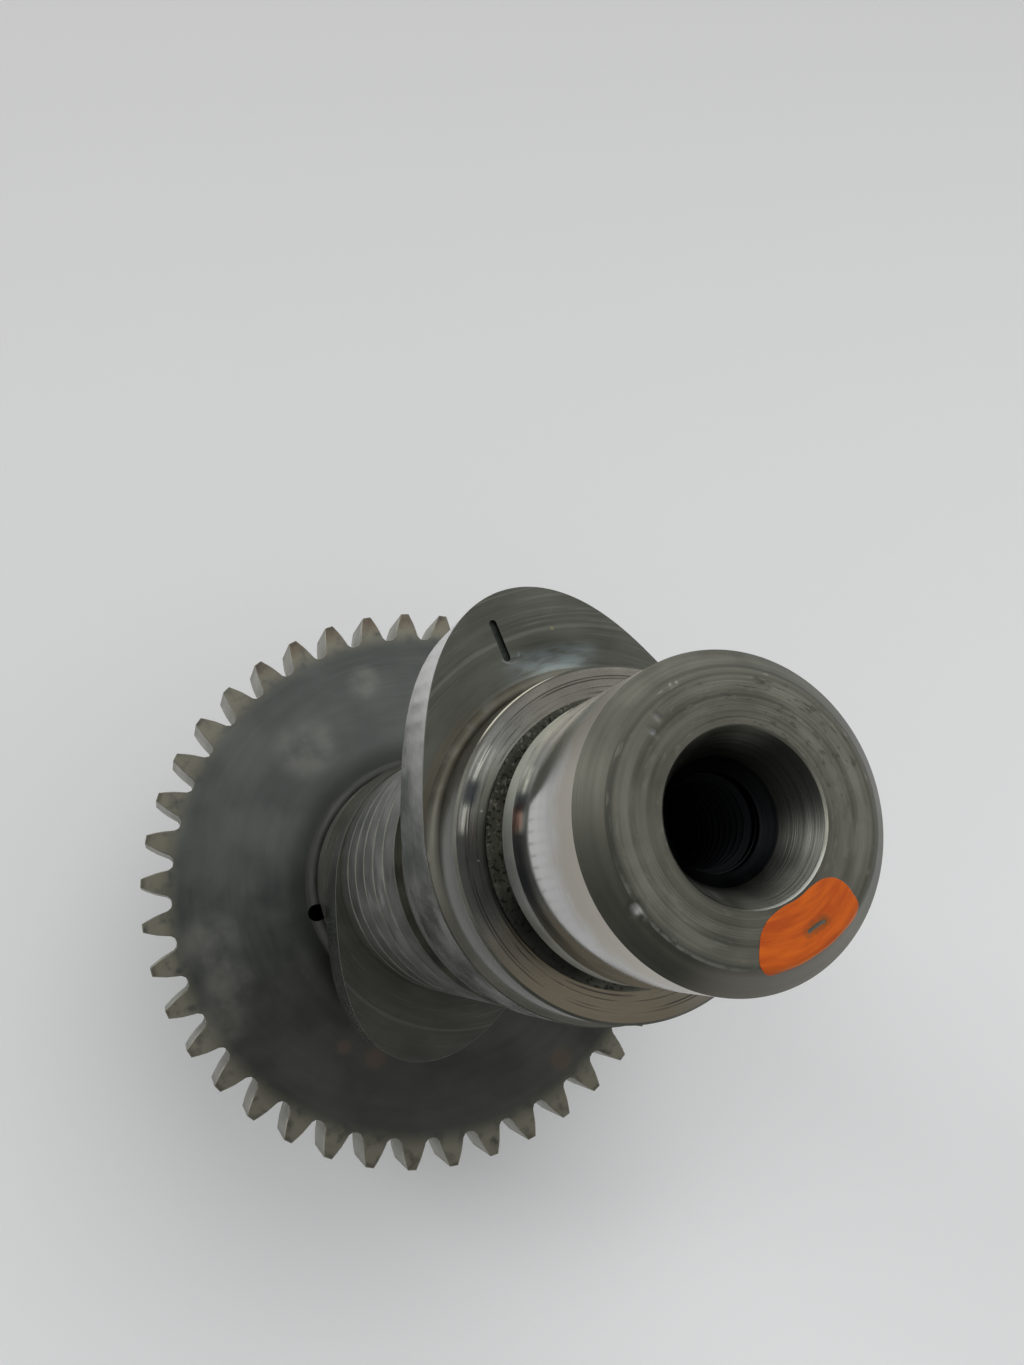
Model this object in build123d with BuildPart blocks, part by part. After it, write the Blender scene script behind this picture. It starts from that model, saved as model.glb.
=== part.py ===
from build123d import *
import os
from math import acos, cos, degrees, hypot, pi, radians, sin, sqrt, tan

# Four-stroke engine camshaft, one steel forging: two journals, a thrust collar, two cam
# lobes and a spur timing gear.  Millimetres.  The shaft axis is Z, the gear end stands at
# z = 0 and the nose points up.  Lobe 1 peaks on +Y; angles turn anticlockwise from +X.

# ---- lengths along the axis, from the gear end up -------------------------------------
REAR_JOURNAL_LENGTH = 20.0
REAR_SHOULDER_LENGTH = 4.0
GEAR_WIDTH = 10.3
HUB_LENGTH = 8.2
LOBE_2_WIDTH = 10.1
BODY_LENGTH = 37.4
GROOVE_WIDTH = 4.6
LAND_LENGTH = 3.8
LOBE_1_WIDTH = 10.1
COLLAR_WIDTH = 6.4
UNDERCUT_WIDTH = 2.6
RELIEF_LENGTH = 3.4
NOSE_JOURNAL_LENGTH = 16.1

# ---- radii and edges of the turned shaft ----------------------------------------------
JOURNAL_RADIUS = 13.0
JOURNAL_CHAMFER = 1.9
RELIEF_DEPTH = 0.2
UNDERCUT_DEPTH = 0.9
FACE_UNDERCUT_DEPTH = 0.3
FACE_UNDERCUT_REACH = 0.5
COLLAR_RADIUS = 16.5
COLLAR_CHAMFER = 0.25
COLLAR_ROOT_FILLET = 1.2
BODY_RADIUS = 16.9
BODY_BANDS = 6
BAND_GROOVE_WIDTH = 0.7
BAND_GROOVE_DEPTH = 0.18
GROOVE_DEPTH = 0.8
HUB_RADIUS = 18.0
HUB_FLARE = 1.7            # 45 degree flare from the hub out to the gear's web

# ---- cam lobes ------------------------------------------------------------------------
BASE_CIRCLE_RADIUS = 17.2
LIFT = 9.7
LIFT_SPREAD = 102.0        # degrees, width of the bell-shaped lift curve
LIFT_POWER = 8.2           # steepness of its sides
LOBE_1_ANGLE = 90.0
LOBE_SEPARATION = 141.8    # degrees from the peak of lobe 1 to the peak of lobe 2
LOBE_NODES = (0, 20, 40, 60, 80, 110, 180)   # degrees from the peak, one side

# ---- timing groove cut into the front face of lobe 1 ----------------------------------
MARK_RADIUS = 22.25        # middle of the groove
MARK_OFFSET = 5.7          # degrees from the lobe's peak
MARK_LENGTH = 3.7          # between the centres of its round ends
MARK_SLANT = -4.4          # degrees off the radius
MARK_WIDTH = 0.75
MARK_DEPTH = 0.45

# ---- timing gear ----------------------------------------------------------------------
TEETH = 42
MODULE = 2.0
PRESSURE_ANGLE = 20.0
TOOTH_THINNING = 0.25      # backlash allowance on the tooth thickness at the pitch circle
ROOT_CLEARANCE = 0.25      # of a module
ROOT_ROUNDING = 0.65       # height of the round bottom of a tooth space
GEAR_PHASE = 5.66          # degrees from +X to the first tooth
PIN_HOLE_DIAMETER = 2.6
PIN_HOLE_STANDOFF = 0.6    # from the hub's side out to the hole's axis
PIN_HOLE_ANGLE = 175.8
PIN_HOLE_DEPTH = 8.0       # below the gear's front face

# ---- centre holes ---------------------------------------------------------------------
NOSE_MOUTH_DIAMETER = 13.3
NOSE_MOUTH_BREAK = 0.3
NOSE_CONE_DEPTH = 4.2
NOSE_STEP_DIAMETER = 10.1
NOSE_THREAD_START = 5.7
NOSE_CORE_DIAMETER = 7.0
NOSE_HOLE_DEPTH = 26.0
REAR_CENTRE_DIAMETER = 8.5
REAR_PILOT_DIAMETER = 4.0
REAR_PILOT_DEPTH = 9.0
CENTRE_ANGLE = 60.0
DRILL_POINT_ANGLE = 118.0

# ---- small numbers of the drawing itself ----------------------------------------------
EDGE_MATCH = 0.01          # how near an edge lies to the place it is looked for at
SLOPE_STEP = 0.05          # degrees each way, to read the slope of a lobe's outline

# ---- stations along the axis ----------------------------------------------------------
Z_SHOULDER = REAR_JOURNAL_LENGTH
Z_GEAR_BACK = Z_SHOULDER + REAR_SHOULDER_LENGTH
Z_GEAR_FRONT = Z_GEAR_BACK + GEAR_WIDTH
Z_LOBE_2 = Z_GEAR_FRONT + HUB_LENGTH
Z_BODY = Z_LOBE_2 + LOBE_2_WIDTH
Z_GROOVE = Z_BODY + BODY_LENGTH
Z_LAND = Z_GROOVE + GROOVE_WIDTH
Z_LOBE_1 = Z_LAND + LAND_LENGTH
Z_COLLAR = Z_LOBE_1 + LOBE_1_WIDTH
Z_UNDERCUT = Z_COLLAR + COLLAR_WIDTH
Z_RELIEF = Z_UNDERCUT + UNDERCUT_WIDTH
Z_NOSE_JOURNAL = Z_RELIEF + RELIEF_LENGTH
Z_NOSE = Z_NOSE_JOURNAL + NOSE_JOURNAL_LENGTH

PITCH_RADIUS = MODULE * TEETH / 2
TIP_RADIUS = PITCH_RADIUS + MODULE
ROOT_RADIUS = PITCH_RADIUS - (1 + ROOT_CLEARANCE) * MODULE
LOBE_2_ANGLE = LOBE_1_ANGLE + LOBE_SEPARATION


def polar(radius, angle):
    """Point at a radius and an angle in degrees."""
    return (radius * cos(radians(angle)), radius * sin(radians(angle)))


def lift(angle):
    """Cam lift at an angle in degrees from the peak: a smooth bell."""
    return LIFT / (1 + (angle / LIFT_SPREAD) ** 2) ** LIFT_POWER


def lobe_point(peak_angle, offset):
    """Point of a lobe's outline, at an offset in degrees from its peak."""
    return Vector(*polar(BASE_CIRCLE_RADIUS + lift(offset), peak_angle + offset))


def lobe_direction(peak_angle, offset):
    """Direction in which a lobe's outline runs at that point."""
    behind = lobe_point(peak_angle, offset - SLOPE_STEP)
    ahead = lobe_point(peak_angle, offset + SLOPE_STEP)
    return (ahead - behind).normalized()


def draw_lobe(peak_angle):
    """Closed outline of a cam lobe: between neighbouring nodes run two arcs, tangent to
    the lift curve at the nodes and to each other where they meet."""
    nodes = [-offset for offset in LOBE_NODES[:0:-1]] + list(LOBE_NODES)
    for first, last in zip(nodes, nodes[1:]):
        start = lobe_point(peak_angle, first)
        end = lobe_point(peak_angle, last)
        leaving = lobe_direction(peak_angle, first)
        arriving = lobe_direction(peak_angle, last)
        chord = end - start
        reach = chord.dot(leaving + arriving)
        bend = 2 * (1 - leaving.dot(arriving)) * chord.dot(chord)
        handle = chord.dot(chord) / (reach + sqrt(reach**2 + bend))
        start_handle = start + leaving * handle
        end_handle = end - arriving * handle
        middle = (start_handle + end_handle) / 2
        TangentArc(start, middle, tangent=leaving)
        TangentArc(middle, end, tangent=end_handle - start_handle)


def involute_angle(radius):
    """Angle, in degrees, that the involute has turned at a radius."""
    base_radius = PITCH_RADIUS * cos(radians(PRESSURE_ANGLE))
    roll = acos(min(1.0, base_radius / radius))
    return degrees(tan(roll) - roll)


def tooth_half_angle(radius):
    """Half of a tooth's width, in degrees, at a radius."""
    pitch_width = pi * MODULE / 2 - TOOTH_THINNING
    at_pitch = degrees(pitch_width / 2 / PITCH_RADIUS)
    return at_pitch + involute_angle(PITCH_RADIUS) - involute_angle(radius)


def circles_at(part, radius, height):
    """Round edges about the shaft axis, of one radius, at one height."""
    return part.edges().filter_by(GeomType.CIRCLE).filter_by(
        lambda edge: abs(edge.radius - radius) < EDGE_MATCH
        and abs(edge.arc_center.Z - height) < EDGE_MATCH
        and hypot(edge.arc_center.X, edge.arc_center.Y) < EDGE_MATCH
    )


# ---- turned shaft: journals, collar, groove, ringed body and hub in one profile --------
with BuildPart() as shaft:
    with BuildSketch(Plane.XZ) as shaft_profile:
        with BuildLine() as shaft_line:
            undercut_radius = JOURNAL_RADIUS - UNDERCUT_DEPTH
            relief_radius = JOURNAL_RADIUS - RELIEF_DEPTH
            face_cut_radius = JOURNAL_RADIUS + FACE_UNDERCUT_REACH
            groove_radius = BODY_RADIUS - GROOVE_DEPTH
            Polyline(
                (0, 0),
                (JOURNAL_RADIUS - JOURNAL_CHAMFER, 0),
                (JOURNAL_RADIUS, JOURNAL_CHAMFER),
                (JOURNAL_RADIUS, Z_SHOULDER - UNDERCUT_WIDTH),
                (undercut_radius, Z_SHOULDER - UNDERCUT_WIDTH),
                (undercut_radius, Z_SHOULDER),
                (COLLAR_RADIUS - COLLAR_CHAMFER, Z_SHOULDER),
                (COLLAR_RADIUS, Z_SHOULDER + COLLAR_CHAMFER),
                (COLLAR_RADIUS, Z_GEAR_BACK),
                (HUB_RADIUS, Z_GEAR_BACK),
                (HUB_RADIUS, Z_LOBE_2),
                (BODY_RADIUS, Z_LOBE_2),
                (BODY_RADIUS, Z_GROOVE),
                (groove_radius, Z_GROOVE),
                (groove_radius, Z_LAND),
                (BODY_RADIUS, Z_LAND),
                (BODY_RADIUS, Z_COLLAR),
                (COLLAR_RADIUS, Z_COLLAR),
                (COLLAR_RADIUS, Z_UNDERCUT - COLLAR_CHAMFER),
                (COLLAR_RADIUS - COLLAR_CHAMFER, Z_UNDERCUT),
                (face_cut_radius, Z_UNDERCUT),
                (undercut_radius, Z_UNDERCUT - FACE_UNDERCUT_DEPTH),
                (undercut_radius, Z_RELIEF),
                (relief_radius, Z_RELIEF),
                (relief_radius, Z_NOSE_JOURNAL),
                (JOURNAL_RADIUS, Z_NOSE_JOURNAL),
                (JOURNAL_RADIUS, Z_NOSE - JOURNAL_CHAMFER),
                (JOURNAL_RADIUS - JOURNAL_CHAMFER, Z_NOSE),
                (0, Z_NOSE),
                close=True,
            )
        make_face()
    revolve(axis=Axis.Z)

    # shallow rings turned into the body, between bands of equal width
    band_pitch = BODY_LENGTH / BODY_BANDS
    with BuildSketch(Plane.XZ) as band_profile:
        for band in range(1, BODY_BANDS):
            with Locations((BODY_RADIUS, Z_BODY + band * band_pitch)):
                Rectangle(2 * BAND_GROOVE_DEPTH, BAND_GROOVE_WIDTH)
    revolve(axis=Axis.Z, mode=Mode.SUBTRACT)


# ---- cam lobes ------------------------------------------------------------------------
with BuildPart() as lobe_1:
    with BuildSketch(Plane.XY.offset(Z_LOBE_1)) as lobe_1_profile:
        with BuildLine() as lobe_1_line:
            draw_lobe(LOBE_1_ANGLE)
        make_face()
    extrude(amount=LOBE_1_WIDTH)

with BuildPart() as lobe_2:
    with BuildSketch(Plane.XY.offset(Z_LOBE_2)) as lobe_2_profile:
        with BuildLine() as lobe_2_line:
            draw_lobe(LOBE_2_ANGLE)
        make_face()
    extrude(amount=LOBE_2_WIDTH)

# fillet at the foot of the thrust collar: a ring on lobe 1's front face, trimmed by the
# lobe's own outline where the base circle is smaller than the ring
with BuildPart() as collar_root:
    with BuildSketch(Plane.XZ) as collar_root_profile:
        with BuildLine() as collar_root_line:
            foot_radius = COLLAR_RADIUS + COLLAR_ROOT_FILLET
            Polyline(
                (COLLAR_RADIUS, Z_COLLAR + COLLAR_ROOT_FILLET),
                (COLLAR_RADIUS, Z_COLLAR),
                (foot_radius, Z_COLLAR),
            )
            RadiusArc(
                (foot_radius, Z_COLLAR),
                (COLLAR_RADIUS, Z_COLLAR + COLLAR_ROOT_FILLET),
                COLLAR_ROOT_FILLET,
            )
        make_face()
    revolve(axis=Axis.Z)
    with BuildSketch(Plane.XY.offset(Z_COLLAR)) as collar_root_limit:
        with BuildLine() as collar_root_outline:
            draw_lobe(LOBE_1_ANGLE)
        make_face()
    extrude(amount=COLLAR_ROOT_FILLET, mode=Mode.INTERSECT)


# ---- timing gear ----------------------------------------------------------------------
tooth_pitch = 360 / TEETH
flank_radii = (ROOT_RADIUS + ROOT_ROUNDING, PITCH_RADIUS, TIP_RADIUS)
root_corner_angle = tooth_half_angle(flank_radii[0])
tip_corner_angle = tooth_half_angle(TIP_RADIUS)

with BuildPart() as gear:
    with BuildSketch(Plane.XY.offset(Z_GEAR_BACK)) as gear_profile:
        with BuildLine() as gear_line:
            for tooth in range(TEETH):
                middle_angle = GEAR_PHASE + tooth * tooth_pitch
                first_flank = [
                    polar(radius, middle_angle - tooth_half_angle(radius))
                    for radius in flank_radii
                ]
                second_flank = [
                    polar(radius, middle_angle + tooth_half_angle(radius))
                    for radius in reversed(flank_radii)
                ]
                # involute flank, tip, involute flank, round bottom of the next space
                ThreePointArc(first_flank)
                ThreePointArc(
                    polar(TIP_RADIUS, middle_angle - tip_corner_angle),
                    polar(TIP_RADIUS, middle_angle),
                    polar(TIP_RADIUS, middle_angle + tip_corner_angle),
                )
                ThreePointArc(second_flank)
                ThreePointArc(
                    polar(flank_radii[0], middle_angle + root_corner_angle),
                    polar(ROOT_RADIUS, middle_angle + tooth_pitch / 2),
                    polar(flank_radii[0], middle_angle + tooth_pitch - root_corner_angle),
                )
        make_face()
    extrude(amount=GEAR_WIDTH)


# ---- the forging: shaft, lobes and gear in one ----------------------------------------
with BuildPart() as camshaft:
    add(shaft.part)
    add(gear.part)
    add(lobe_1.part)
    add(lobe_2.part)
    add(collar_root.part)

    # the hub flares out to the gear's web
    chamfer(circles_at(camshaft, HUB_RADIUS, Z_GEAR_FRONT), HUB_FLARE)

    # blind pin hole drilled beside the hub
    with BuildSketch(Plane.XY.offset(Z_GEAR_FRONT - PIN_HOLE_DEPTH)) as pin_hole_profile:
        with Locations(polar(HUB_RADIUS + PIN_HOLE_STANDOFF, PIN_HOLE_ANGLE)):
            Circle(PIN_HOLE_DIAMETER / 2)
    extrude(amount=PIN_HOLE_DEPTH + HUB_FLARE, mode=Mode.SUBTRACT)

    # timing groove on lobe 1, nearly along the radius
    mark_angle = LOBE_1_ANGLE + MARK_OFFSET
    with BuildSketch(Plane.XY.offset(Z_COLLAR)) as mark_profile:
        with Locations(polar(MARK_RADIUS, mark_angle)):
            SlotCenterToCenter(MARK_LENGTH, MARK_WIDTH, rotation=mark_angle + MARK_SLANT)
    extrude(amount=-MARK_DEPTH, mode=Mode.SUBTRACT)

    # stepped and tapped centre hole in the nose
    with BuildSketch(Plane.XZ) as nose_hole_profile:
        with BuildLine() as nose_hole_line:
            mouth_radius = NOSE_MOUTH_DIAMETER / 2
            core_radius = NOSE_CORE_DIAMETER / 2
            Polyline(
                (0, Z_NOSE),
                (mouth_radius + NOSE_MOUTH_BREAK, Z_NOSE),
                (mouth_radius, Z_NOSE - NOSE_MOUTH_BREAK),
                (NOSE_STEP_DIAMETER / 2, Z_NOSE - NOSE_CONE_DEPTH),
                (core_radius, Z_NOSE - NOSE_THREAD_START),
                (core_radius, Z_NOSE - NOSE_HOLE_DEPTH),
                (0, Z_NOSE - NOSE_HOLE_DEPTH - core_radius / tan(radians(DRILL_POINT_ANGLE / 2))),
                close=True,
            )
        make_face()
    revolve(axis=Axis.Z, mode=Mode.SUBTRACT)

    # plain centre hole in the gear end
    with BuildSketch(Plane.XZ) as rear_hole_profile:
        with BuildLine() as rear_hole_line:
            rear_mouth_radius = REAR_CENTRE_DIAMETER / 2
            pilot_radius = REAR_PILOT_DIAMETER / 2
            cone_depth = (rear_mouth_radius - pilot_radius) / tan(radians(CENTRE_ANGLE / 2))
            Polyline(
                (0, 0),
                (rear_mouth_radius, 0),
                (pilot_radius, cone_depth),
                (pilot_radius, REAR_PILOT_DEPTH),
                (0, REAR_PILOT_DEPTH + pilot_radius / tan(radians(DRILL_POINT_ANGLE / 2))),
                close=True,
            )
        make_face()
    revolve(axis=Axis.Z, mode=Mode.SUBTRACT)

camshaft.part.label = "camshaft"
print(camshaft.part.volume, len(camshaft.part.solids()))
os.makedirs("parts", exist_ok=True)
export_step(camshaft.part, "parts/camshaft.step")
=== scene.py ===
from math import acos, atan2, cos, degrees, pi, radians, sin, tan

import bmesh
import bpy
import numpy as np
from mathutils import Matrix, Vector


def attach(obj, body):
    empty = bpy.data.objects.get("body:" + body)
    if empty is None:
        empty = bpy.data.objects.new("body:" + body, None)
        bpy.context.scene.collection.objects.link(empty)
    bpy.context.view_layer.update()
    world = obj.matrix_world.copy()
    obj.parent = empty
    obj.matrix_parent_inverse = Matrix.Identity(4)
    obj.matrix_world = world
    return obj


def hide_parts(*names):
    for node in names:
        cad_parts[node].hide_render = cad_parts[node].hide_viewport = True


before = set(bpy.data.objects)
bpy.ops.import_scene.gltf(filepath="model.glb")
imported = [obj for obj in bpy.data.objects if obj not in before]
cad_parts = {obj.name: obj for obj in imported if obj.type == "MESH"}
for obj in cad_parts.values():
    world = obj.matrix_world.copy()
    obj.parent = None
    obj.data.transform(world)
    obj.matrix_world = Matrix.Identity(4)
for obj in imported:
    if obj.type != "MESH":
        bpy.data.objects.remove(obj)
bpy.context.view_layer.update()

# Dresses the camshaft.  Lengths are in millimetres unless metres are named, and MM turns
# them into metres where a mesh or the camera is made.  The shaft axis is Z, the nose is at
# the top and lobe 1 peaks on +Y.  Angles are in degrees, anticlockwise from +X.
MM = 0.001
NODE = "camshaft"
BODY = "root"

# ---- the shaft's sizes, as in the part's source but for the nose's undercut ------------
JOURNAL_RADIUS = 13.0
JOURNAL_CHAMFER = 1.9
CHAMFER_ANGLE = 45.0
UNDERCUT_RADIUS = 12.1
RELIEF_RADIUS = 12.97
COLLAR_RADIUS = 16.5
COLLAR_CHAMFER = 0.25
COLLAR_ROOT_FILLET = 1.2
FACE_CUT_RADIUS = 13.55
FACE_CUT_DEPTH = 0.3
BODY_RADIUS = 16.9
BODY_BANDS = 6
BAND_GROOVE_WIDTH = 0.7
BAND_GROOVE_DEPTH = 0.18
GROOVE_RADIUS = 16.1
HUB_RADIUS = 18.0
HUB_FLARE = 1.7

REAR_JOURNAL_LENGTH = 20.0
REAR_SHOULDER_LENGTH = 4.0
GEAR_WIDTH = 10.3
HUB_LENGTH = 8.2
LOBE_WIDTH = 10.1
BODY_LENGTH = 37.4
GROOVE_WIDTH = 4.6
LAND_LENGTH = 3.8
COLLAR_WIDTH = 6.4
UNDERCUT_WIDTH = 2.6
NOSE_UNDERCUT_WIDTH = 3.1  # the relief's land is ground short
RELIEF_LENGTH = 2.9
NOSE_JOURNAL_LENGTH = 16.1

Z_SHOULDER = REAR_JOURNAL_LENGTH
Z_GEAR_BACK = Z_SHOULDER + REAR_SHOULDER_LENGTH
Z_GEAR_FRONT = Z_GEAR_BACK + GEAR_WIDTH
Z_LOBE_2 = Z_GEAR_FRONT + HUB_LENGTH
Z_BODY = Z_LOBE_2 + LOBE_WIDTH
Z_GROOVE = Z_BODY + BODY_LENGTH
Z_LAND = Z_GROOVE + GROOVE_WIDTH
Z_LOBE_1 = Z_LAND + LAND_LENGTH
Z_COLLAR = Z_LOBE_1 + LOBE_WIDTH
Z_UNDERCUT = Z_COLLAR + COLLAR_WIDTH
Z_RELIEF = Z_UNDERCUT + NOSE_UNDERCUT_WIDTH
Z_NOSE_JOURNAL = Z_RELIEF + RELIEF_LENGTH
Z_NOSE = Z_NOSE_JOURNAL + NOSE_JOURNAL_LENGTH

BASE_CIRCLE_RADIUS = 17.2
LIFT = 9.7
LIFT_SPREAD = 102.0
LIFT_POWER = 8.2
LOBE_1_ANGLE = 90.0
LOBE_2_ANGLE = 231.8

TEETH = 42
MODULE = 2.0
DEDENDUM = 1.25            # depth below the pitch circle, in modules
PRESSURE_ANGLE = 20.0
TOOTH_THINNING = 0.25
ROOT_ROUNDING = 0.65
GEAR_PHASE = 5.66
PITCH_RADIUS = MODULE * TEETH / 2
TIP_RADIUS = PITCH_RADIUS + MODULE
ROOT_RADIUS = PITCH_RADIUS - DEDENDUM * MODULE
RIM_RADIUS = 38.0          # where the gear's web ends and its teeth begin

PIN_HOLE_DIAMETER = 2.6
PIN_HOLE_AXIS_RADIUS = HUB_RADIUS + 0.6
PIN_HOLE_ANGLE = 175.8
PIN_HOLE_DEPTH = 8.0
PIN_HOLE_STEPS = 16        # points to half a turn
PIN_HOLE_NOTCH = 0.5       # how far its edge notches the hub above the flare
MARK_RADIUS = 22.25
MARK_ANGLE = LOBE_1_ANGLE + 5.7
MARK_LENGTH = 3.7
MARK_WIDTH = 0.75
MARK_DEPTH = 0.45
MARK_SLANT = -4.4

MOUTH_RADIUS = 6.65
MOUTH_BREAK = 0.18
CONE_DEPTH = 4.2
STEP_RADIUS = 5.05
THREAD_START = 5.2
THREAD_END = 23.0
THREAD_RADIUS = 4.0
THREAD_PITCH = 1.0
THREAD_HEIGHT = 0.5
THREAD_CREST_HALF = 0.08   # half of the flat on its crest
THREAD_SUNK = 0.05         # how far its foot is sunk into the bore's wall
THREAD_LEAD = 0.6          # free length of bore before it starts
THREAD_RUNOUT = 1.0        # free length before and behind it
THREAD_STEPS = 48          # points to a turn
CORE_RADIUS = 3.5
NOSE_HOLE_DEPTH = 26.0
REAR_MOUTH_RADIUS = 4.25
REAR_PILOT_RADIUS = 2.0
REAR_PILOT_DEPTH = 9.0
CENTRE_HALF_ANGLE = 30.0
DRILL_HALF_ANGLE = 59.0

FACE_EDGE = JOURNAL_RADIUS - JOURNAL_CHAMFER
CORNER_LENGTH = 0.35       # how far the worn corner reaches along the nose face

# ---- wear and paint -------------------------------------------------------------------
PAINT_THICKNESS = 0.03
Z_NOSE_FACE = Z_NOSE - PAINT_THICKNESS    # the film's top is at the CAD's height
# corners of the brushed paint mark on the nose face, as (radius, angle)
PAINT_OUTLINE = (
    (9.2, 251.2), (11.15, 252.1), (11.3, 262.0), (11.2, 275.0), (11.2, 290.0), (11.1, 301.4),
    (10.1, 305.2), (8.7, 306.7), (7.7, 303.0), (7.15, 294.0), (7.05, 281.0), (7.1, 265.9),
    (7.9, 255.2),
)
PAINT_GRID = 0.35          # spacing of the points that let the film follow the nose's corner
PAINT_CURVE_STEPS = 10
PAINT_EDGE_STEPS = 2
PAINT_BARE_STREAK = (
    (9.5, 276.2), (9.3, 280.5), (9.4, 285.5), (9.6, 287.2), (9.62, 284.0), (9.56, 280.2),
)
# knocks on the nose, as (radius, angle, size, depth, brightness)
NICKS = (
    (11.4, 194.8, 0.8, 0.26, 0.85),
    (11.3, 199.5, 0.4, 0.12, 0.3),
    (11.2, 99.3, 0.3, 0.1, 0.55),
    (11.1, 96.6, 0.25, 0.05, 0.32),
    (9.4, 119.3, 0.45, 0.08, 0.25),
    (9.9, 112.8, 0.4, 0.08, 0.25),
)

KNOCK_LEAN = 0.5           # inwards share of a knock's downward press
DASHED_SIDE = 35.0         # side of the nose face with the broken tool marks
# pale rubbed places and rust on the gear's web, as (radius, angle, size)
RUBBED_SPOTS = (
    (28.5, 113.0, 6.5), (35.0, 175.0, 5.5), (34.5, 186.0, 5.0), (33.5, 88.0, 3.5),
    (37.5, 193.0, 4.5),
)
RUST_SPOTS = ((28.6, 232.0, 2.2), (28.7, 221.6, 1.5), (36.4, 286.0, 2.5))

# shallow dish ground into lobe 1's face beside the timing groove, and its run-in scratch
DISH_RADIUS = 18.9
DISH_ANGLE = 83.0
DISH_HALF_WIDTH = 1.9
DISH_HALF_LENGTH = 4.0
DISH_DEPTH = 0.22
SCRATCH_START = (19.95, 95.4)
SCRATCH_END = (19.9, 91.6)
SCRATCH_WIDTH = 0.35
SCRATCH_DEPTH = 0.05
BURR_MIDDLE = (20.75, 94.9)
BURR_RADIUS = 1.0
RUST_SPECK = (22.0, 80.8)
SLOT_STEPS = 8             # points to the round end of a slot
CUTTER_RISE = 1.0          # how far a cutter stands above the face that it cuts

# ---- the mesh -------------------------------------------------------------------------
POINTS_PER_TOOTH = 12
AROUND = TEETH * POINTS_PER_TOOTH
POINT_ANGLES = GEAR_PHASE + np.arange(AROUND) * 360 / AROUND
EDGE_BREAK = 0.12          # worn width of the sawn and turned edges
CAM_EDGE_BREAK = 0.06
SAME_POINT = 0.001         # points nearer than this are one
CREASE_ANGLE = 28.0        # edges sharper than this stay crisp
NOSE_FACE_RINGS = 13
CHAMFER_RINGS = 14
FILLET_STEPS = 5
LOBE_1_FACE_RINGS = 16     # enough points for the ground dish in its front face

# ---- the studio and the camera --------------------------------------------------------
FLOOR_HALF_WIDTH = 3.0     # metres
FLOOR_GAP = 0.00005        # metres, keeps the shaft's end face clear of the sheet
FLOOR_COLOUR = (0.99, 0.995, 0.995)
FAR_FLOOR_COLOUR = (0.57, 0.57, 0.56)
FLOOR_ROUGHNESS = 0.9
FLOOR_FADE = (-90.0, 300.0)    # where along Y the painted shade on the sheet begins
FLOOR_RETURN = (330.0, 600.0)  # and where it goes pale again
WALL_COLOUR = (1.15, 1.155, 1.16)
DARK_WALL_COLOUR = (0.35, 0.35, 0.35)
DARK_WALL_ANGLE = 252.0
DARK_WALL_FADE = (-0.1, 0.75)  # cosines of the angle to the dark wall's middle
CEILING_COLOUR = (0.25, 0.255, 0.26)
CEILING_FADE = (0.45, 0.9)     # sines of the elevation
LAMP_DISTANCE = 0.9            # metres
LAMP_TARGET_HEIGHT = 0.06      # metres

LENS = 28.578
SENSOR = 36.0
CAMERA_PLACE = (-40.248, 7.689, 207.685)
CAMERA_BACK = (-0.35319, -0.09512, 0.9307)     # from the scene towards the camera
CAMERA_UP = (0.30532, 0.92863, 0.21078)


# ==== outlines =========================================================================
def on_shaft(radius, angle):
    """Point at a radius and an angle about the shaft axis."""
    return (radius * cos(radians(angle)), radius * sin(radians(angle)))


def around(radii):
    """Closed outline about the axis, from one radius or one for each point."""
    turn = np.radians(POINT_ANGLES)
    return np.column_stack((radii * np.cos(turn), radii * np.sin(turn)))


def lobe_radii(peak_angle):
    """Radius of a cam lobe, with its bell-shaped lift, at each point around the shaft."""
    offset = (POINT_ANGLES - peak_angle + 180) % 360 - 180
    return BASE_CIRCLE_RADIUS + LIFT / (1 + (offset / LIFT_SPREAD) ** 2) ** LIFT_POWER


def involute_angle(radius):
    """Angle that the involute has turned at a radius."""
    roll = acos(min(1.0, PITCH_RADIUS * cos(radians(PRESSURE_ANGLE)) / radius))
    return degrees(tan(roll) - roll)


def tooth_half_angle(radius):
    """Half of a tooth's width at a radius."""
    at_pitch = degrees((pi * MODULE / 2 - TOOTH_THINNING) / 2 / PITCH_RADIUS)
    return at_pitch + involute_angle(PITCH_RADIUS) - involute_angle(radius)


def tooth_points():
    """One pitch of the gear as (radius, angle), from the middle of a tooth to the next."""
    pitch = 360 / TEETH
    flank = (TIP_RADIUS, PITCH_RADIUS + MODULE / 2, PITCH_RADIUS, ROOT_RADIUS + ROOT_ROUNDING)
    half_space = pitch / 2 - tooth_half_angle(flank[-1])
    points = [(TIP_RADIUS, 0.0)]
    points += [(radius, tooth_half_angle(radius)) for radius in flank]
    for share in (-0.6, 0.0, 0.6):
        rise = ROOT_ROUNDING * (1 - (1 - share**2) ** 0.5)
        points.append((ROOT_RADIUS + rise, pitch / 2 + share * half_space))
    points += [(radius, pitch - tooth_half_angle(radius)) for radius in reversed(flank)]
    return points


def gear_outline():
    """Outline of the timing gear, with the same count of points to every tooth."""
    outline = []
    for tooth in range(TEETH):
        start = GEAR_PHASE + tooth * 360 / TEETH
        outline += [on_shaft(radius, start + angle) for radius, angle in tooth_points()]
    return np.array(outline)


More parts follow.
